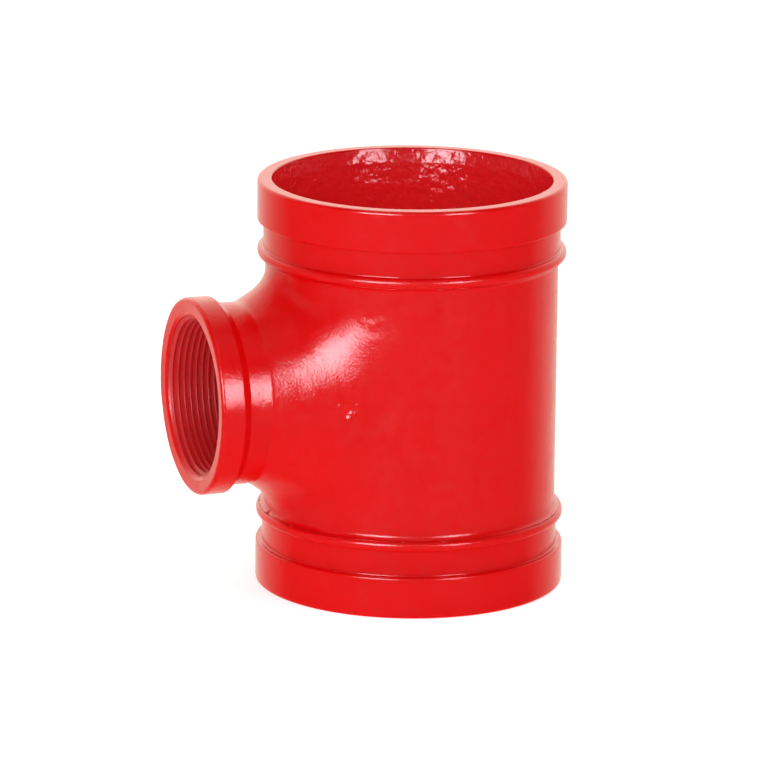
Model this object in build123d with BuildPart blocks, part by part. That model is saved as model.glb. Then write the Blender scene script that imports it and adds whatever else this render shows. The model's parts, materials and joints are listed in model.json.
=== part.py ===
from build123d import *

import os
from math import asin, atan, hypot, sin, tan

# A grooved reducing tee: one iron casting whose run takes two split couplings, with a tapped branch.
# The origin is where the two axes cross. The run stands along Z and the branch points along -X.

# Run ends, made to the outside size of a 100 mm nominal pipe
run_length = 152.4
pipe_diameter = 114.3
gasket_seat_length = 15.88
groove_width = 8.74
groove_depth = 2.3
end_edge_chamfer = 0.6
end_inner_round = 1.1
groove_lip_round = 0.5
groove_corner_round = 0.4

# Barrel between the grooves, with a rounded bead beside each groove
barrel_step = 3.05
barrel_wall = 3.7
bead_height = 2.9
bead_width = 4.3
bead_crown_round = 1.5
bead_foot_round = 0.8

# Branch: a neck with a thicker collar at its face, tapped for a 50 mm nominal pipe thread.
# The bore is drawn at the crests of the thread, and is tapped as far as the cast core.
branch_reach = 86.0
tapped_bore_diameter = 56.66
core_length = 10.6
mouth_depth = 1.5
mouth_flare = 1.5
neck_wall = 5.2
core_step = 0.9
core_mouth_round = 2.5
collar_length = 9.8
collar_height = 2.8
collar_taper_length = 2.2
collar_face_round = 1.0
collar_shoulder_round = 0.9
collar_root_round = 0.5

# Saddle, where the neck spreads over the barrel: a cone that runs out along the barrel's sides, with a
# large root round above and below. Its sides touch a circle that lies this far under the barrel's skin.
saddle_skin = 1.0
saddle_root_round = 16.0

# Shares of the room that the saddle takes: of the branch between collar and barrel, and of the barrel
# between the neck and a bead
saddle_share_of_branch = 0.6
saddle_share_of_barrel = 0.35

# Largest shares that a round may take of the wall or the room beside it
crown_share_of_width = 0.45
crown_share_of_wall = 0.7
corner_share_of_wall = 0.2
foot_share_of_room = 0.45
root_share_of_saddle = 0.95
root_share_of_barrel = 1.7

# How near two sizes have to be to count as the same one, when edges are picked by their place
same = 0.05

half_run = run_length / 2
end_radius = pipe_diameter / 2
groove_radius = end_radius - groove_depth
barrel_radius = end_radius - barrel_step
bead_radius = barrel_radius + bead_height
bore_radius = barrel_radius - barrel_wall
groove_outer_z = half_run - gasket_seat_length
groove_inner_z = groove_outer_z - groove_width
bead_foot_z = groove_inner_z - bead_width

tapped_radius = tapped_bore_diameter / 2
mouth_radius = tapped_radius + mouth_flare
core_radius = tapped_radius - core_step
neck_radius = tapped_radius + neck_wall
collar_radius = neck_radius + collar_height
collar_back_x = -branch_reach + collar_length
neck_front_x = collar_back_x + collar_taper_length
saddle_rise = saddle_share_of_branch * (-neck_front_x - barrel_radius)
saddle_start_x = -barrel_radius - saddle_rise
tapped_end_x = -bore_radius - core_length
core_start_x = tapped_end_x + core_step

# The saddle's slope against the branch's axis: its sides cut the barrel at a small angle, and its top
# keeps clear of the bead
buried_radius = barrel_radius - saddle_skin
start_distance = hypot(saddle_start_x, neck_radius)
touching_flare = asin(buried_radius / start_distance) - atan(neck_radius / -saddle_start_x)
clear_flare = atan(saddle_share_of_barrel * (bead_foot_z - neck_radius) / saddle_rise)
saddle_flare = min(touching_flare, clear_flare)
saddle_end_x = -buried_radius * sin(touching_flare)
saddle_end_radius = neck_radius + (saddle_end_x - saddle_start_x) * tan(saddle_flare)

# Rounds that the walls beside them limit
groove_inner_wall = bead_radius - groove_radius
room_on_barrel = bead_foot_z - neck_radius - saddle_rise * tan(saddle_flare)
room_on_saddle = saddle_rise / (1 - sin(saddle_flare))
crown_room = min(crown_share_of_width * bead_width, crown_share_of_wall * groove_inner_wall)
crown_round = min(bead_crown_round, crown_room)
corner_round = min(groove_corner_round, corner_share_of_wall * groove_inner_wall)
foot_round = min(bead_foot_round, foot_share_of_room * room_on_barrel)
root_room = min(root_share_of_barrel * room_on_barrel, root_share_of_saddle * room_on_saddle)
root_round = min(saddle_root_round, root_room)


def rings(shape_edges, radius, distance):
    """The circles of this radius whose centres lie this far from the origin, on either axis."""
    circles = shape_edges.filter_by(GeomType.CIRCLE)
    return circles.filter_by(
        lambda e: abs(e.radius - radius) < same and abs(e.arc_center.length - distance) < same
    )


def seams(shape_edges, radius):
    """The curves, other than circles, along which the branch crosses a cylinder about the run."""
    curves = shape_edges.filter_by(lambda e: e.geom_type not in (GeomType.CIRCLE, GeomType.LINE))
    return curves.filter_by(lambda e: abs(hypot((e @ 0).X, (e @ 0).Y) - radius) < same)


with BuildPart() as tee_body:
    # The barrel alone, so that the saddle's root can pass under the beads
    Cylinder(barrel_radius, 2 * groove_inner_z)

    # The collar, the neck and the saddle, solid as yet
    with BuildSketch(Plane.XZ):
        with BuildLine():
            Polyline(
                (-branch_reach, 0),
                (-branch_reach, collar_radius),
                (collar_back_x, collar_radius),
                (neck_front_x, neck_radius),
                (saddle_start_x, neck_radius),
                (saddle_end_x, saddle_end_radius),
                (saddle_end_x, 0),
                close=True,
            )
        make_face()
    revolve(axis=Axis.X)
    fillet(seams(edges(), barrel_radius), root_round)

    # Bead, groove and gasket seat, the same at both ends
    with BuildSketch(Plane.XZ):
        with BuildLine():
            Polyline(
                (0, bead_foot_z),
                (0, half_run),
                (end_radius, half_run),
                (end_radius, groove_outer_z),
                (groove_radius, groove_outer_z),
                (groove_radius, groove_inner_z),
                (bead_radius, groove_inner_z),
                (bead_radius, bead_foot_z),
                close=True,
            )
        make_face()
        mirror(about=Plane.XZ)
    revolve(axis=Axis.Z)

    # The waterway, and the branch hole with its chamfered mouth, tapped bore and cast core
    Cylinder(bore_radius, run_length, mode=Mode.SUBTRACT)
    with BuildSketch(Plane.XZ):
        with BuildLine():
            Polyline(
                (-branch_reach, 0),
                (-branch_reach, mouth_radius),
                (-branch_reach + mouth_depth, tapped_radius),
                (tapped_end_x, tapped_radius),
                (core_start_x, core_radius),
                (0, core_radius),
                (0, 0),
                close=True,
            )
        make_face()
    revolve(axis=Axis.X, mode=Mode.SUBTRACT)
    fillet(seams(edges(), bore_radius), core_mouth_round)

    # Broken edges and cast corners of the run's ends
    chamfer(rings(edges(), end_radius, half_run), end_edge_chamfer)
    fillet(rings(edges(), bore_radius, half_run), end_inner_round)
    fillet(rings(edges(), end_radius, groove_outer_z), groove_lip_round)
    fillet(rings(edges(), groove_radius, groove_outer_z), corner_round)
    fillet(rings(edges(), groove_radius, groove_inner_z), corner_round)
    fillet(rings(edges(), bead_radius, groove_inner_z), crown_round)
    fillet(rings(edges(), bead_radius, bead_foot_z), crown_round)

    # The hollow at each bead's foot, on the barrel and over the saddle's root alike
    bead_sides = faces().filter_by(Axis.Z).filter_by(lambda f: abs(abs(f.center().Z) - bead_foot_z) < same)
    fillet([e for side in bead_sides for wire in side.inner_wires() for e in wire.edges()], foot_round)

    # Rounds of the collar: its face edge, its shoulder and its root on the neck
    fillet(rings(edges(), collar_radius, branch_reach), collar_face_round)
    fillet(rings(edges(), collar_radius, -collar_back_x), collar_shoulder_round)
    fillet(rings(edges(), neck_radius, -neck_front_x), collar_root_round)

tee_body.part.label = "tee_body"

os.makedirs("parts", exist_ok=True)
export_step(tee_body.part, "parts/tee_body.step")
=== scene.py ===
import json
from math import ceil, cos, hypot, pi, radians, sin, tan

import bpy
import numpy as np
from mathutils import Matrix, Vector, noise


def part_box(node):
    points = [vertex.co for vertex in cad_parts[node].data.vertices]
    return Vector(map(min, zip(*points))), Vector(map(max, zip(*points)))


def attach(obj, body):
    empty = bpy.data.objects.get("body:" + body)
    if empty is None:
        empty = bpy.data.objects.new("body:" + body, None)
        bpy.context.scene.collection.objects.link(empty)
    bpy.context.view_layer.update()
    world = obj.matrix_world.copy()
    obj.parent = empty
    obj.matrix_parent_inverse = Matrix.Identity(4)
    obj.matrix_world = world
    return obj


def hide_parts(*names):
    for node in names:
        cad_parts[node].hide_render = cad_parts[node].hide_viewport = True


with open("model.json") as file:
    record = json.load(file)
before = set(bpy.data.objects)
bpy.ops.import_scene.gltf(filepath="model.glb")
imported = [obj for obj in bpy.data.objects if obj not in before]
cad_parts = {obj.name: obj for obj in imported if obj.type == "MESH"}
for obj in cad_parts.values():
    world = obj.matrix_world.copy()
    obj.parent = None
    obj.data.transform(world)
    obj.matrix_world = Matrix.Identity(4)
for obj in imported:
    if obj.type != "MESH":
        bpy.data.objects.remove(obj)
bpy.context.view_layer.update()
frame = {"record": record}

# Lengths are in millimetres until a mesh is made, and the axes are those of the frame: the run of the
# tee stands along Z, its branch points along -X, and the two axes cross at the origin.
MM = 0.001

# Sizes that the frame gives
body_low, body_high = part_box("tee_body")
mounts = {mount["name"]: mount for mount in frame["record"]["mounts"]}
half_run = body_high.z / MM
branch_reach = -body_low.x / MM
end_radius = body_high.y / MM
bore_radius = mounts["run_bore"]["dims"]["r_mm"]
groove_radius = mounts["top_groove"]["dims"]["r_mm"]
groove_middle_z = mounts["top_groove"]["pos_m"][2] / MM
groove_width = mounts["top_groove"]["dims"]["length_mm"]
thread_crest_radius = mounts["branch_thread"]["dims"]["r_mm"]

# Run: bead, groove and lip. The groove's walls are as cast, a little further apart than its cut width.
barrel_radius = 54.1
bead_radius = 57.0
bead_width = 3.75
bead_foot_round = 2.0
bead_crown_round = 1.5
groove_wall_setback = 0.5
groove_corner_round = 0.45
groove_lip_round = 0.6
end_edge_round = 1.2
end_inner_round = 0.5
end_taper_depth = 1.5
end_taper_length = 5.5
end_taper_share = 0.65
end_lead_length = 15.0
end_taper_round = 6.0

# Branch: collar, neck, mouth, thread and core
collar_radius = 36.33
collar_length = 8.9
collar_taper_length = 3.1
collar_face_round = 1.4
collar_shoulder_round = 0.9
collar_root_round = 0.7
neck_radius = 33.53
neck_rest = 2.0
face_dish = 0.45
countersink_radius = 31.0
countersink_depth = 0.8
mouth_edge_round = 0.25
thread_pitch = 2.309
thread_height = 1.479
thread_depth = 25.0
thread_runout = 4.0
thread_taper = 1 / 32
thread_end_round = 0.3
core_radius = 27.43
core_step = 0.6
core_start_depth = 27.0
core_mouth_round = 2.5

# Saddle: a sheet that leaves the neck at a crease and runs out on the barrel. In each half plane through
# the branch's axis it is one curve. The lists give that curve straight above the branch, and 30, 60 and
# 90 degrees round from there: its slope at the crease, how far from the branch's axis it meets the
# barrel, and how long it keeps its direction at each end. Below the branch it is the same.
saddle_crease_height = 65.4
saddle_crease_round = 4.5
saddle_angles = (0, 30, 60, 90)
saddle_slopes = (29, 25, 21, 21)
saddle_meets = (49.3, 46.5, 61.0, 47.0)
saddle_start_pulls = (0.48, 0.49, 0.50, 0.50)
saddle_end_pulls = (0.34, 0.34, 0.34, 0.08)
saddle_furthest_side = 52.5
saddle_least_side = 0.3
saddle_fade = 0.5

# Mesh grids. The window is the part of the barrel that the branch's grid replaces.
columns = 232
window_columns = 80
window_rows = 56
window_margin = 0.4
inner_window_z = 38.0
saddle_rings = 36
crease_rings = 4
neck_rings = 5
inner_spoke_rings = 14
edge_step = 1.9
arc_step = 0.4
arc_least_steps = 3
hold_distance = 0.3
same_place = 1e-9
curve_samples = 300
barrel_samples = 60
core_mouth_samples = 6
halvings = 48

groove_outer_z = groove_middle_z + groove_width / 2 + groove_wall_setback
groove_inner_z = groove_middle_z - groove_width / 2 - groove_wall_setback
bead_foot_z = groove_inner_z - bead_width
window_z = bead_foot_z - bead_foot_round - window_margin
mouth_depth = face_dish + countersink_depth
thread_root_radius = thread_crest_radius + thread_height
wall_middle_radius = (bore_radius + groove_radius) / 2
nearly_straight = radians(179)


def rounded(corners):
    """A polyline through corners (a, b, radius): corners turned into arcs, long runs divided."""
    points = [np.array(corners[0][:2], float)]
    for before, corner, after in zip(corners, corners[1:], corners[2:]):
        here = np.array(corner[:2], float)
        back = np.array(before[:2], float) - here
        ahead = np.array(after[:2], float) - here
        back /= np.linalg.norm(back)
        ahead /= np.linalg.norm(ahead)
        opening = np.arccos(np.clip(back @ ahead, -1, 1))
        radius = corner[2]
        if radius <= 0 or opening > nearly_straight:
            divide(points, here)
            continue
        reach = radius / tan(opening / 2)
        middle = back + ahead
        centre = here + middle / np.linalg.norm(middle) * (radius / sin(opening / 2))
        start = here + back * reach
        end = here + ahead * reach
        divide(points, start)
        turn = pi - opening
        count = max(arc_least_steps, ceil(turn * radius / arc_step))
        from_centre = start - centre
        to_end = end - centre
        for i in range(1, count + 1):
            share = i / count
            near = sin((1 - share) * turn) * from_centre + sin(share * turn) * to_end
            points.append(centre + near / sin(turn))
    divide(points, np.array(corners[-1][:2], float))
    return np.array(points)


def divide(points, end):
    """Adds end to points, and before it the points that divide the run, two of them near its ends."""
    start = points[-1]
    length = np.linalg.norm(end - start)
    if length < same_place:
        return
    shares = {0.0, 1.0}
    if length > 4 * hold_distance:
        hold = hold_distance / length
        shares |= {hold, 1 - hold}
        count = ceil((length - 2 * hold_distance) / edge_step)
        shares |= {hold + (1 - 2 * hold) * i / count for i in range(1, count)}
    points.extend(start + (end - start) * share for share in sorted(shares)[1:])


def end_profile():
    """(radius, height) up the outside from the window's edge, over the end and down the bore."""
    taper_radius = bore_radius + (1 - end_taper_share) * end_taper_depth
    corners = [
        (barrel_radius, window_z, 0),
        (barrel_radius, bead_foot_z, bead_foot_round),
        (bead_radius, bead_foot_z, bead_crown_round),
        (bead_radius, groove_inner_z, bead_crown_round),
        (groove_radius, groove_inner_z, groove_corner_round),
        (groove_radius, groove_outer_z, groove_corner_round),
        (end_radius, groove_outer_z, groove_lip_round),
        (end_radius, half_run, end_edge_round),
        (bore_radius + end_taper_depth, half_run, end_inner_round),
        (taper_radius, half_run - end_taper_length, end_taper_round),
        (bore_radius, half_run - end_lead_length, 2 * end_taper_round),
        (bore_radius, inner_window_z, 0),
    ]
    return rounded(corners)


def around_value(values, around):
    """A value of the saddle at these angles about the branch's axis, smoothly between those listed."""
    turned = np.degrees(np.arcsin(np.clip(np.abs(np.sin(around)), 0, 1)))
    knots = np.array(saddle_angles, float)
    values = np.array(values, float)
    rates = np.zeros(len(knots))
    rates[1:-1] = (values[2:] - values[:-2]) / (knots[2:] - knots[:-2])
    i = np.clip(np.searchsorted(knots, turned) - 1, 0, len(knots) - 2)
    width = knots[i + 1] - knots[i]
    t = (turned - knots[i]) / width
    level = values[i] + (values[i + 1] - values[i]) * t * t * (3 - 2 * t)
    return level + width * t * (1 - t) * ((1 - t) * rates[i] - t * rates[i + 1])


def saddle_controls(around):
    """The four control points (reach, height) of the saddle's curve at each angle."""
    slope = np.radians(around_value(saddle_slopes, around))
    side = np.sin(around)
    furthest = saddle_furthest_side / np.maximum(np.abs(side), saddle_least_side)
    meets = np.minimum(around_value(saddle_meets, around), furthest)
    barrel = np.sqrt(barrel_radius**2 - (meets * side) ** 2)
    start = np.broadcast_to((neck_radius, saddle_crease_height), (len(meets), 2))
    end = np.stack([meets, barrel], -1)
    ahead = np.stack([np.sin(slope), -np.cos(slope)], -1)
    along_barrel = np.stack([barrel, -meets * side**2], -1)
    along_barrel /= np.linalg.norm(along_barrel, axis=-1, keepdims=True)
    chord = np.linalg.norm(end - start, axis=-1)
    start_pull = (chord * around_value(saddle_start_pulls, around))[..., None]
    end_pull = (chord * around_value(saddle_end_pulls, around))[..., None]
    return start, start + start_pull * ahead, end - end_pull * along_barrel, end


def curve_points(controls, share):
    """Points of a cubic curve, at one share of it for each set of control points."""
    s = np.asarray(share, float)[..., None]
    a, b, c, d = controls
    return (1 - s) ** 3 * a + 3 * (1 - s) ** 2 * s * b + 3 * (1 - s) * s**2 * c + s**3 * d


def share_at_reach(controls, reach):
    """How far along each curve it comes to this distance from the branch's axis."""
    low = np.zeros_like(reach)
    high = np.ones_like(reach)
    for _ in range(halvings):
        share = (low + high) / 2
        short = curve_points(controls, share)[..., 0] < reach
        low = np.where(short, share, low)
        high = np.where(short, high, share)
    return (low + high) / 2


def saddle_lift(points):
    """How far the saddle stands out of the barrel at these points of the run's outside."""
    reach = np.maximum(np.hypot(points[:, 1], points[:, 2]), neck_radius)
    around = np.arctan2(-points[:, 1], points[:, 2])
    controls = saddle_controls(around)
    height = curve_points(controls, share_at_reach(controls, reach))[:, 1]
    barrel = np.sqrt(np.maximum(barrel_radius**2 - points[:, 1] ** 2, 0))
    on_saddle = (points[:, 0] < 0) & (reach < controls[3][:, 0])
    return np.where(on_saddle, np.maximum(height - barrel, 0), 0)


def saddle_spoke(reach_end, around, neck_top):
    """Points (reach, height) in one half plane, from the window's edge over the saddle to the neck's top."""
    controls = [control[0] for control in saddle_controls(np.array([around]))]
    meets = controls[3][0]
    last = 1.0 if reach_end >= meets else share_at_reach(controls, np.array(reach_end, float))
    sheet = curve_points(controls, np.linspace(0, last, curve_samples))
    if reach_end > meets:
        reach = np.linspace(meets, reach_end, barrel_samples)[1:]
        barrel = np.sqrt(barrel_radius**2 - (reach * sin(around)) ** 2)
        sheet = np.concatenate([sheet, np.stack([reach, barrel], 1)])
    along = np.concatenate([[0], np.cumsum(np.hypot(*np.diff(sheet, axis=0).T))])
    slope = radians(around_value(saddle_slopes, np.array([around]))[0])
    crease = saddle_crease_round * tan(slope / 2)
    even = np.linspace(along[-1], crease, saddle_rings + 1)
    saddle = np.stack([np.interp(even, along, sheet[:, 0]), np.interp(even, along, sheet[:, 1])], 1)
    corner = sheet[0]
    on_neck = corner + (0, crease)
    s = (np.arange(1, crease_rings + 1) / crease_rings)[:, None]
    bend = (1 - s) ** 2 * saddle[-1] + 2 * (1 - s) * s * corner + s**2 * on_neck
    s = (np.arange(1, neck_rings) / neck_rings)[:, None]
    neck = on_neck + s * (np.array([neck_radius, neck_top]) - on_neck)
    return np.concatenate([saddle, bend, neck])


def bore_spoke(reach_end, around):
    """Points (reach, height) in one half plane, from the core up its rounded mouth and along the bore."""
    side = abs(sin(around))
    inner = core_radius + core_mouth_round
    nearest = core_radius
    furthest = inner
    for _ in range(halvings):
        reach = (nearest + furthest) / 2
        height = (bore_radius**2 - (reach * side) ** 2) ** 0.5
        slope = hypot(reach * side**2, height)
        if reach + core_mouth_round * reach * side**2 / slope > inner:
            furthest = reach
        else:
            nearest = reach
    leaves = height + core_mouth_round * height / slope
    last_turn = np.arccos(np.clip((inner - reach) / core_mouth_round, -1, 1))
    turns = np.linspace(0, last_turn, core_mouth_samples)
    arc = np.stack([inner - core_mouth_round * np.cos(turns), leaves - core_mouth_round * np.sin(turns)], 1)
    outward = reach + (reach_end - reach) * (np.arange(1, inner_spoke_rings + 1) / inner_spoke_rings)
    bore = np.stack([outward, np.sqrt(bore_radius**2 - (outward * side) ** 2)], 1)
    return np.concatenate([arc, bore])


def branch_profile():
    """(distance from the branch's axis, distance from the run's) from the neck over the face to the core."""
    face = branch_reach
    shoulder = face - collar_length
    foot = shoulder - collar_taper_length
    thread_end = face - thread_depth
    runout = thread_end + thread_runout
    corners = [
        (neck_radius, foot - neck_rest, 0),
        (neck_radius, foot, collar_root_round),
        (collar_radius, shoulder, collar_shoulder_round),
        (collar_radius, face, collar_face_round),
        (countersink_radius, face - face_dish, mouth_edge_round),
        (thread_root_radius - mouth_depth * thread_taper, face - mouth_depth, mouth_edge_round),
        (thread_root_radius - (face - runout) * thread_taper, runout, 0),
        (thread_crest_radius - thread_depth * thread_taper, thread_end, thread_end_round),
        (core_radius, thread_end - core_step, thread_end_round),
        (core_radius, face - core_start_depth, 0),
    ]
    return rounded(corners)


class Mesh:
    """Points in millimetres, and quads with a finish for each."""

    def __init__(self):
        self.points = []
        self.quads = []
        self.finishes = []
        self.count = 0

    def add_points(self, points):
        start = self.count
        self.points.append(points)
        self.count += len(points)
        return np.arange(start, self.count)

    def add_strip(self, ring, next_ring, finish, gap=(0, 0)):
        """Quads between two closed rings of as many points, except where the gap leaves them out."""
        quads = np.stack([ring, np.roll(ring, -1), np.roll(next_ring, -1), next_ring], 1)
        quads = np.delete(quads, slice(*gap), axis=0)
        self.quads.append(quads)
        self.finishes.append(np.full(len(quads), finish))


def window_loop(rows, first_column, last_column):
    """The indices round a window, from its lower left corner as seen from outside, rows going up."""
    side = rows[1:-1]
    return np.concatenate([
        rows[0][first_column:last_column + 1],
        [row[last_column] for row in side],
        rows[-1][first_column:last_column + 1][::-1],
        [row[first_column] for row in side][::-1],
    ])


# The finishes, in the order of the casting's materials, and how far from an edge a finish may start
CAST, MACHINED, THREAD, INSIDE = range(4)
rim_margin = 0.1
groove_margin = 0.2
crown_margin = 0.6
face_margin = 0.05


def run_finish(profile_point):
    """The finish of the run's surface near a profile point."""
    radius, height = profile_point
    if radius < bore_radius + end_taper_depth - rim_margin:
        return INSIDE
    past_crown = radius < bead_radius - crown_margin or abs(height) > groove_middle_z
    if past_crown and abs(height) > groove_inner_z - groove_margin:
        return MACHINED
    return CAST


def casting_mesh():
    """The whole surface of the casting as one closed net: the run's grid, and rings through the branch."""
    mesh = Mesh()
    angles = (np.arange(columns) - columns // 2) * (2 * pi / columns)
    end_rows = end_profile()
    barrel_z = np.linspace(-window_z, window_z, window_rows + 1)
    inner_z = np.linspace(inner_window_z, -inner_window_z, window_rows + 1)
    barrel_rows = np.stack([np.full_like(barrel_z, barrel_radius), barrel_z], 1)
    inner_rows = np.stack([np.full_like(inner_z, bore_radius), inner_z], 1)
    lower_rows = (end_rows * (1, -1))[::-1]
    profile = np.concatenate([barrel_rows, end_rows[1:-1], inner_rows, lower_rows[1:-1]])

    # The saddle passes under the bead, and fades out over the bead's foot
    rows = []
    for radius, height in profile:
        z = np.full_like(angles, height)
        points = np.stack([-radius * np.cos(angles), -radius * np.sin(angles), z], 1)
        weight = min((bead_foot_z + saddle_fade - abs(height)) / (saddle_fade + bead_foot_round), 1)
        if radius > wall_middle_radius and weight > 0:
            points[:, 0] -= weight * saddle_lift(points)
        rows.append(mesh.add_points(points))

    first = (columns - window_columns) // 2
    last = first + window_columns
    inner_start = window_rows + 1 + len(end_rows) - 2
    inner_end = inner_start + window_rows
    for j in range(len(profile)):
        following = (j + 1) % len(profile)
        finish = run_finish((profile[j] + profile[following]) / 2)
        has_window = j < window_rows or inner_start <= j < inner_end
        gap = (first, last) if has_window else (0, 0)
        mesh.add_strip(rows[j], rows[following], finish, gap)

    outer_loop = window_loop(rows[:window_rows + 1], first, last)
    inner_loop = window_loop(rows[inner_start:inner_end + 1][::-1], first, last)
    add_branch(mesh, outer_loop, inner_loop)
    return mesh


def add_branch(mesh, outer_loop, inner_loop):
    """Rings from the window in the barrel over the saddle, collar and thread to the window in the bore."""
    points = np.concatenate(mesh.points)
    outer = points[outer_loop]
    inner = points[inner_loop]
    around = np.arctan2(-outer[:, 1], outer[:, 2])
    around_inside = np.arctan2(-inner[:, 1], inner[:, 2])
    profile = branch_profile()
    finishes = [branch_finish(p, q) for p, q in zip(profile, profile[1:])]
    spokes = np.array([saddle_spoke(hypot(p[1], p[2]), a, profile[0][1]) for p, a in zip(outer, around)])
    bore_spokes = np.array([bore_spoke(hypot(p[1], p[2]), a) for p, a in zip(inner, around_inside)])

    def add_ring(reach, height, angle, finish):
        x = -height * np.ones_like(angle)
        ring = mesh.add_points(np.stack([x, -reach * np.sin(angle), reach * np.cos(angle)], 1))
        rings.append((ring, finish))

    rings = [(outer_loop, CAST)]
    for k in range(1, spokes.shape[1]):
        add_ring(spokes[:, k, 0], spokes[:, k, 1], around, CAST)
    turned = np.unwrap(around_inside - around, period=2 * pi)
    shares = np.linspace(0, 1, len(profile))
    for (reach, height), share, finish in zip(profile, shares, [CAST] + finishes):
        add_ring(reach, height, around + turned * share, finish)
    for k in range(bore_spokes.shape[1] - 1):
        add_ring(bore_spokes[:, k, 0], bore_spokes[:, k, 1], around_inside, INSIDE)
    rings.append((inner_loop, INSIDE))
    for (ring, _), (next_ring, finish) in zip(rings, rings[1:]):
        mesh.add_strip(ring, next_ring, finish)


def branch_finish(start, end):
    """The finish of the branch's surface between two profile points."""
    reach, height = (start + end) / 2
    depth = branch_reach - height
    if reach > thread_root_radius and depth > face_margin:
        return CAST
    if depth < mouth_depth + face_margin:
        return MACHINED
    if depth < thread_depth + thread_end_round:
        return THREAD
    return INSIDE


def point_normals(points, quads):
    """Each point's normal, the mean of its quads' by area."""
    across = points[quads[:, 2]] - points[quads[:, 0]]
    along = points[quads[:, 3]] - points[quads[:, 1]]
    areas = np.cross(across, along)
    normals = np.zeros_like(points)
    for corner in range(4):
        np.add.at(normals, quads[:, corner], areas)
    return normals / np.linalg.norm(normals, axis=1, keepdims=True)


def fractal(points, wavelength, octaves, seed, height):
    """Smooth noise at these points, up to about this height, its largest waves as long as the wavelength."""
    shift = Vector((seed, 2 * seed, 3 * seed))
    levels = [noise.fractal(Vector(p) / wavelength + shift, 1.0, 2.0, octaves) for p in points]
    return height * np.array(levels)


# Relief of the surface, as noise: the length of its largest waves, its octaves, its seed and its height.
# Outside, the sand mould leaves long low waves and low pebbles. The bore is rougher.
outside_waves = (22.0, 2, 3.1, 0.10)
outside_pebbles = (4.5, 2, 7.7, 0.035)
bore_pebbles = (5.0, 3, 5.3, 0.22)

# Pimples, ripples and a dimple that the mould left: centre, radius and height. The mesh has them, and
# because its quads are nearly as wide as the small ones, the paint's bump sharpens them.
cast_marks = [
    ((-42.6, -41.6, 3.0), 1.5, 0.20),
    ((-36.4, -43.6, 3.3), 1.6, 0.24),
    ((-39.6, -42.4, -1.7), 1.7, 0.42),
    ((-38.4, -42.9, 0.1), 2.1, 0.40),
    ((-55.0, 0.9, -47.1), 1.5, -0.40),
    ((-34.9, -43.0, 34.4), 2.6, 0.09),
    ((-31.6, -44.4, 33.2), 3.0, 0.10),
    ((-28.6, -45.9, 34.9), 2.6, 0.08),
]
mark_share_of_mesh = 0.6
mark_share_of_bump = 0.95


def mark_relief(points):
    """The height of the mould's marks at these points, from each one's smooth fall with distance."""
    total = np.zeros(len(points))
    for centre, radius, height in cast_marks:
        away = np.linalg.norm(points - np.array(centre), axis=1)
        near = np.clip(1 - away / radius, 0, 1)
        total += height * near * near * (3 - 2 * near)
    return total


def relief(points, cast, rough):
    """How far each point is moved along its normal: cast and rough are its shares of each surface."""
    outside = fractal(points, *outside_waves) + fractal(points, *outside_pebbles)
    outside += mark_share_of_mesh * mark_relief(points)
    return cast * outside + rough * fractal(points, *bore_pebbles)


def make_object(name, points, faces, finishes, materials):
    """A smooth-shaded mesh object in metres, each face's finish being the number of its material."""
    data = bpy.data.meshes.new(name)
    data.from_pydata((points * MM).tolist(), [], faces)
    for material in materials:
        data.materials.append(material)
    data.polygons.foreach_set("material_index", np.asarray(finishes, np.int32))
    data.polygons.foreach_set("use_smooth", np.ones(len(faces), bool))
    data.update()
    made = bpy.data.objects.new(name, data)
    bpy.context.scene.collection.objects.link(made)
    return made


def point_shares(count, quads, finishes, finish):
    """For each point, the share of its quads that have this finish."""
    total = np.zeros(count)
    found = np.zeros(count)
    for corner in range(4):
        np.add.at(total, quads[:, corner], 1)
        np.add.at(found, quads[:, corner], finishes == finish)
    return found / total


def make_casting(materials):
    """The casting with its relief, without the points that the windows leave unused."""
    mesh = casting_mesh()
    points = np.concatenate(mesh.points)
    quads = np.concatenate(mesh.quads)
    finishes = np.concatenate(mesh.finishes)
    used = np.unique(quads)
    renumbered = np.zeros(len(points), int)
    renumbered[used] = np.arange(len(used))
    points = points[used]
    quads = renumbered[quads]
    normals = point_normals(points, quads)
    cast = (point_shares(len(points), quads, finishes, CAST) == 1).astype(float)
    rough = (point_shares(len(points), quads, finishes, INSIDE) == 1).astype(float)
    moved = points + normals * relief(points, cast, rough)[:, None]
    return make_object("casting", moved, quads.tolist(), finishes, materials)


# Thread: one helical ridge, which starts ahead of the countersink and is cut off by it. Its section is
# (along, height) with height 1 at the crest, and stands on the root, a little sunk, with a rounded crest.
thread_steps = 120
thread_sunk = 0.12
thread_lead = 1.1
thread_overrun = 0.6
thread_start_slope = 0.8
half_section = [(-1.02, -1), (-0.98, 0.0), (-0.84, 0.12), (-0.20, 0.90), (-0.08, 0.99)]
thread_section = half_section + [(-along, height) for along, height in half_section[::-1]]


def thread_radii(depth):
    """The root's and the crest's radius at a depth behind the face."""
    crest = thread_crest_radius - depth * thread_taper
    root = crest + thread_height
    runs_out = np.clip((depth - (thread_depth - thread_runout)) / thread_runout, 0, 1)
    root = root + (crest - root) * runs_out
    rising = root - thread_start_slope * (depth - mouth_depth)
    return root, max(crest, min(rising, root))


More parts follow.
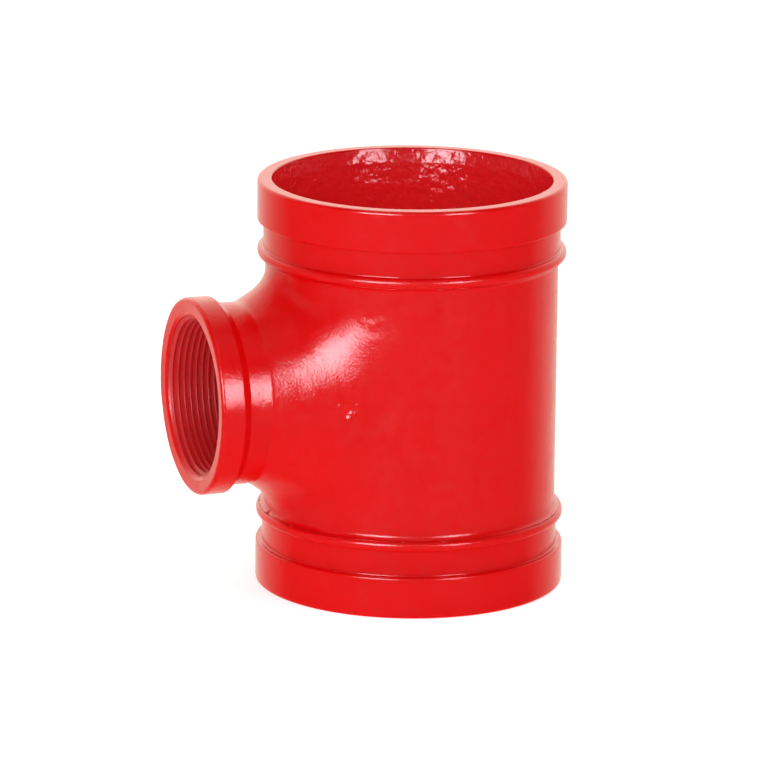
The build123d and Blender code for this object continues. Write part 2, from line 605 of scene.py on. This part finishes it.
def make_thread(material):
    """The ridge of the thread, right-handed, closed at both its ends."""
    turns = (thread_depth - mouth_depth + thread_overrun) / thread_pitch
    count = int(turns * thread_steps)
    start = mouth_depth - thread_lead
    rings = []
    for i in range(count + 1):
        angle = 2 * pi * i / thread_steps
        middle = start + thread_pitch * i / thread_steps
        ring = []
        for along, height in thread_section:
            depth = middle + along
            root, crest = thread_radii(max(depth, 0.0))
            radius = root - height * (root - crest) if height >= 0 else root + thread_sunk
            ring.append((-branch_reach + max(depth, mouth_depth), radius * cos(angle), radius * sin(angle)))
        rings.append(ring)
    points = np.array(rings).reshape(-1, 3)
    width = len(thread_section)
    faces = []
    for i in range(count):
        for j in range(width):
            a = i * width + j
            b = i * width + (j + 1) % width
            faces.append((a, a + width, b + width, b))
    faces.append(tuple(range(width)))
    faces.append(tuple(range(count * width, (count + 1) * width))[::-1])
    return make_object("branch_thread", points, faces, np.zeros(len(faces)), [material])


def node(tree, kind, **inputs):
    """A new shader node with these input values, set by name with spaces written as underscores."""
    made = tree.nodes.new(kind)
    for name, value in inputs.items():
        made.inputs[name.replace("_", " ")].default_value = value
    return made


def mark_heights(tree, place):
    """The part of the marks' height that the paint's bump takes."""
    total = None
    share = mark_share_of_bump * MM
    for centre, radius, height in cast_marks:
        away = tree.nodes.new("ShaderNodeVectorMath")
        away.operation = "DISTANCE"
        away.inputs[1].default_value = Vector(centre) * MM
        tree.links.new(place, away.inputs[0])
        fall = node(tree, "ShaderNodeMapRange", From_Max=radius * MM, To_Min=height * share, To_Max=0.0)
        fall.interpolation_type = "SMOOTHSTEP"
        tree.links.new(away.outputs["Value"], fall.inputs["Value"])
        if total is None:
            total = fall.outputs["Result"]
            continue
        added = tree.nodes.new("ShaderNodeMath")
        tree.links.new(total, added.inputs[0])
        tree.links.new(fall.outputs["Result"], added.inputs[1])
        total = added.outputs["Value"]
    return total


# The scales of the paint's noises: clouds of colour, dull patches and the long relief of orange peel
cloud_scale = 55.0
dull_scale = 240.0
peel_scale = 330.0


def paint(name, deep, bright, roughness, peel, grain, grain_scale):
    """Red enamel: peel and grain are the heights in metres of its long and its fine relief."""
    material = bpy.data.materials.new(name)
    material.use_nodes = True
    tree = material.node_tree
    tree.nodes.clear()
    output = tree.nodes.new("ShaderNodeOutputMaterial")
    shader = tree.nodes.new("ShaderNodeBsdfPrincipled")
    tree.links.new(shader.outputs[0], output.inputs["Surface"])
    shader.inputs["IOR"].default_value = 1.5
    shader.inputs["Specular IOR Level"].default_value = 0.5
    place = tree.nodes.new("ShaderNodeTexCoord").outputs["Object"]

    cloud = node(tree, "ShaderNodeTexNoise", Scale=cloud_scale, Detail=3.0, Roughness=0.55)
    tree.links.new(place, cloud.inputs["Vector"])
    colour = tree.nodes.new("ShaderNodeMix")
    colour.data_type = "RGBA"
    colour.inputs["A"].default_value = (*deep, 1)
    colour.inputs["B"].default_value = (*bright, 1)
    tree.links.new(cloud.outputs["Fac"], colour.inputs["Factor"])
    tree.links.new(colour.outputs["Result"], shader.inputs["Base Color"])

    dull = node(tree, "ShaderNodeTexNoise", Scale=dull_scale, Detail=4.0, Roughness=0.6)
    tree.links.new(place, dull.inputs["Vector"])
    smoothest, dullest = roughness
    spread = node(tree, "ShaderNodeMapRange", From_Min=0.3, From_Max=0.7, To_Min=smoothest, To_Max=dullest)
    tree.links.new(dull.outputs["Fac"], spread.inputs["Value"])
    tree.links.new(spread.outputs["Result"], shader.inputs["Roughness"])

    long_relief = node(tree, "ShaderNodeTexNoise", Scale=peel_scale, Detail=1.0, Roughness=0.4)
    fine_relief = node(tree, "ShaderNodeTexNoise", Scale=grain_scale, Detail=3.0, Roughness=0.55)
    for texture in (long_relief, fine_relief):
        tree.links.new(place, texture.inputs["Vector"])
    normal = add_bump(tree, mark_heights(tree, place), 1.0, None)
    normal = add_bump(tree, long_relief.outputs["Fac"], peel, normal)
    normal = add_bump(tree, fine_relief.outputs["Fac"], grain, normal)
    tree.links.new(normal, shader.inputs["Normal"])
    return material


def add_bump(tree, height, distance, normal):
    """The surface's normal once this height is added to what gave the normal so far."""
    bump = node(tree, "ShaderNodeBump", Strength=1.0, Distance=distance)
    tree.links.new(height, bump.inputs["Height"])
    if normal is not None:
        tree.links.new(normal, bump.inputs["Normal"])
    return bump.outputs["Normal"]


floor_half = 4.0


def make_floor():
    """A large pale floor under the tee, which its gloss doesn't mirror."""
    level = body_low.z
    signs = [(-1, -1), (1, -1), (1, 1), (-1, 1)]
    corners = [(x * floor_half, y * floor_half, level) for x, y in signs]
    data = bpy.data.meshes.new("floor")
    data.from_pydata(corners, [], [(0, 1, 2, 3)])
    material = bpy.data.materials.new("pale_floor")
    material.use_nodes = True
    shader = material.node_tree.nodes["Principled BSDF"]
    shader.inputs["Base Color"].default_value = (0.8, 0.8, 0.8, 1)
    shader.inputs["Roughness"].default_value = 0.7
    shader.inputs["Specular IOR Level"].default_value = 0.2
    shader.inputs["Emission Color"].default_value = (1, 1, 1, 1)
    shader.inputs["Emission Strength"].default_value = 0.6
    data.materials.append(material)
    floor = bpy.data.objects.new("floor", data)
    floor.visible_glossy = False
    bpy.context.scene.collection.objects.link(floor)


# The camera, fitted to the photograph: where it looks, and from which side
camera_azimuth = -20.391
camera_elevation = 14.491
camera_roll = 0.602
camera_distance = 2.3697
camera_target = Vector((-0.00934, 0.00285, -0.00211))
camera_focal_pixels = 6389.7
frame_pixels = 768
sensor_width = 36.0
clip_distances = (0.05, 50.0)


def direction(azimuth, elevation):
    """The unit vector from the object towards azimuth and elevation, in degrees, 0 being -Y."""
    a = radians(azimuth)
    e = radians(elevation)
    return Vector((sin(a) * cos(e), -cos(a) * cos(e), sin(e)))


def make_camera():
    """The camera at the photograph's angle, with its small roll about the line of sight."""
    back = direction(camera_azimuth, camera_elevation)
    right = Vector((cos(radians(camera_azimuth)), sin(radians(camera_azimuth)), 0))
    up = back.cross(right)
    roll = radians(camera_roll)
    turned_right = cos(roll) * right + sin(roll) * up
    turned_up = -sin(roll) * right + cos(roll) * up
    data = bpy.data.cameras.new("camera")
    data.sensor_width = sensor_width
    data.lens = camera_focal_pixels / frame_pixels * sensor_width
    data.clip_start, data.clip_end = clip_distances
    camera = bpy.data.objects.new("camera", data)
    turn = Matrix((turned_right, turned_up, back)).transposed().to_4x4()
    camera.matrix_world = Matrix.Translation(camera_target + back * camera_distance) @ turn
    bpy.context.scene.collection.objects.link(camera)
    bpy.context.scene.camera = camera


# The soft boxes: azimuth and elevation, distance, width and height, and the strength for each square metre.
# A window shows in the gloss alone, and a fill lights the paint alone.
panel_colour = (0.88, 0.92, 1.0)
windows = {
    "window_left": (-45.0, 16.0, 1.6, 0.76, 0.74, 47.0),
    "window_right": (14.0, 16.0, 1.6, 0.50, 0.74, 40.0),
}
fills = {
    "fill_front": (-20.0, 25.0, 1.8, 1.2, 1.0, 11.2),
    "fill_above": (-20.0, 75.0, 1.8, 1.6, 1.2, 6.6),
    "fill_left": (-105.0, 10.0, 1.8, 1.2, 1.2, 6.5),
    "fill_right": (80.0, 20.0, 1.8, 1.2, 1.2, 3.9),
}


def make_panel(name, azimuth, elevation, distance, width, height, strength, mirrored):
    """A soft box that faces the object and is either mirrored in the gloss or lights the paint."""
    data = bpy.data.lights.new(name, "AREA")
    data.shape = "RECTANGLE"
    data.size = width
    data.size_y = height
    data.energy = strength * width * height
    data.color = panel_colour
    panel = bpy.data.objects.new(name, data)
    towards = direction(azimuth, elevation)
    panel.location = towards * distance
    panel.rotation_euler = towards.to_track_quat("Z", "Y").to_euler()
    panel.visible_camera = False
    panel.visible_glossy = mirrored
    panel.visible_diffuse = not mirrored
    bpy.context.scene.collection.objects.link(panel)


# The surround, by direction: a bright backdrop behind the object, and a darker room in front of it. The
# backdrop's share rises between two cosines of the angle to its middle. Its brightness rises from just
# below the horizon to just above it.
backdrop_azimuth = 159.6
backdrop_cosines = (0.22, 0.87)
backdrop_brightness = (0.9, 1.6)
horizon_band = 0.2
room_brightness = 0.06
surround_colour = (1.0, 0.94, 0.81, 1)


def make_world():
    """The surround that reflections show, procedural by direction."""
    world = bpy.data.worlds.new("surround")
    world.use_nodes = True
    tree = world.node_tree
    background = tree.nodes["Background"]
    place = tree.nodes.new("ShaderNodeTexCoord").outputs["Generated"]
    towards = tree.nodes.new("ShaderNodeVectorMath")
    towards.operation = "DOT_PRODUCT"
    towards.inputs[1].default_value = direction(backdrop_azimuth, 0.0)
    tree.links.new(place, towards.inputs[0])
    edge, middle = backdrop_cosines
    share = node(tree, "ShaderNodeMapRange", From_Min=edge, From_Max=middle)
    tree.links.new(towards.outputs["Value"], share.inputs["Value"])
    parts = tree.nodes.new("ShaderNodeSeparateXYZ")
    tree.links.new(place, parts.inputs[0])
    low, high = backdrop_brightness
    level = node(
        tree, "ShaderNodeMapRange", From_Min=-horizon_band, From_Max=horizon_band, To_Min=low, To_Max=high
    )
    tree.links.new(parts.outputs["Z"], level.inputs["Value"])
    bright = node(tree, "ShaderNodeMath")
    bright.operation = "MULTIPLY_ADD"
    tree.links.new(share.outputs["Result"], bright.inputs[0])
    tree.links.new(level.outputs["Result"], bright.inputs[1])
    bright.inputs[2].default_value = room_brightness
    background.inputs["Color"].default_value = surround_colour
    tree.links.new(bright.outputs["Value"], background.inputs["Strength"])
    bpy.context.scene.world = world


# The paint's darkest and lightest red outside, in the thread and in the bore. In the thread and the bore the
# green and blue are raised, which is a painted sheen. The bore's red is lighter than the outside's, which is
# painted light in the bore's shade.
outside_reds = ((0.73, 0.0010, 0.0015), (0.79, 0.002, 0.003))
thread_reds_painted_sheen = ((0.62, 0.010, 0.012), (0.72, 0.014, 0.016))
bore_reds_painted_light_and_sheen = ((0.78, 0.012, 0.015), (0.86, 0.017, 0.020))

cast_paint = paint(
    "paint_cast", *outside_reds, roughness=(0.14, 0.22), peel=0.00005, grain=0.00009, grain_scale=1000.0
)
machined_paint = paint(
    "paint_machined", *outside_reds, roughness=(0.12, 0.20), peel=0.00002, grain=0.00001, grain_scale=1400.0
)
# The thread's paint carries a painted sheen in its raised green and blue.
thread_paint_painted_sheen = paint(
    "paint_thread", *thread_reds_painted_sheen, roughness=(0.34, 0.5), peel=0.00002, grain=0.00002, grain_scale=1400.0
)
# The bore's paint is a lighter red than the outside's, which is painted light in its shade, and its raised
# green and blue are a painted sheen.
bore_paint_painted_light = paint(
    "paint_bore", *bore_reds_painted_light_and_sheen, roughness=(0.10, 0.17), peel=0.00045, grain=0.00018, grain_scale=700.0
)

casting = make_casting([cast_paint, machined_paint, thread_paint_painted_sheen, bore_paint_painted_light])
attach(casting, "root")
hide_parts("tee_body")

thread = make_thread(thread_paint_painted_sheen)
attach(thread, "root")

make_floor()
make_world()
make_camera()
for name, sizes in windows.items():
    make_panel(name, *sizes, mirrored=True)
for name, sizes in fills.items():
    make_panel(name, *sizes, mirrored=False)

bpy.context.scene.view_settings.view_transform = "Standard"
